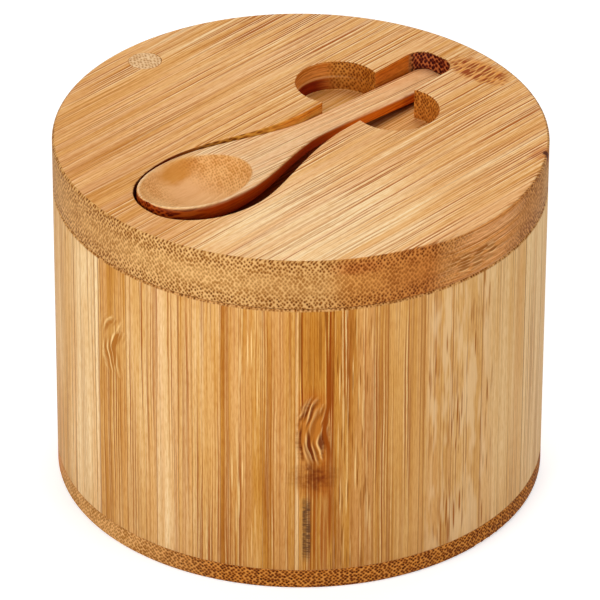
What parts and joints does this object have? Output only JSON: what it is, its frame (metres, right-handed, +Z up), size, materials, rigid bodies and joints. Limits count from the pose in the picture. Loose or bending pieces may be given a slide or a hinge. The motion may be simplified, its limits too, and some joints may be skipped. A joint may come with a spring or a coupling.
{
  "type": "spice box",
  "caption": "Round bamboo box with a lid that swivels open on an upright dowel, and a small spoon lying in a shaped pocket in the top of the lid.",
  "frame": {"origin": "centre of the underside, on the surface that the box stands on", "axes": "+Z up, +X along the spoon from its bowl to the end of its handle, +Y towards the dowel that the lid swivels on"},
  "size_m": [0.09, 0.09, 0.07],
  "materials": {
    "base_bamboo": "sanded end-grain bamboo, dotted, matt",
    "wall_bamboo": "laminated bamboo strips on end, turned and sanded, satin",
    "lid_bamboo": "laminated bamboo, fine parallel grain on top and dotted end grain round the side, satin",
    "dowel_bamboo": "sanded end grain where it shows, satin",
    "spoon_bamboo": "fine straight grain along the spoon, satin",
    "magnet_metal": "bright nickel plating"
  },
  "bodies": {
    "box": {"base_disc": "base_bamboo", "box_wall": "wall_bamboo", "wall_magnet": "magnet_metal"},
    "lid": {"lid": "lid_bamboo", "pivot_dowel": "dowel_bamboo", "lid_magnet": "magnet_metal"},
    "spoon": {"spoon": "spoon_bamboo"}
  },
  "joints": [
    {"name": "lid_swivel", "type": "hinge", "parent": "box", "child": "lid", "pos_m": [0, 0.039, 0.059], "axis": [0, 0, 1], "continuous": true},
    {"name": "spoon_lift", "type": "slide", "parent": "lid", "child": "spoon", "axis": [0, 0, 1], "range_m": [0, 0.04]}
  ]
}
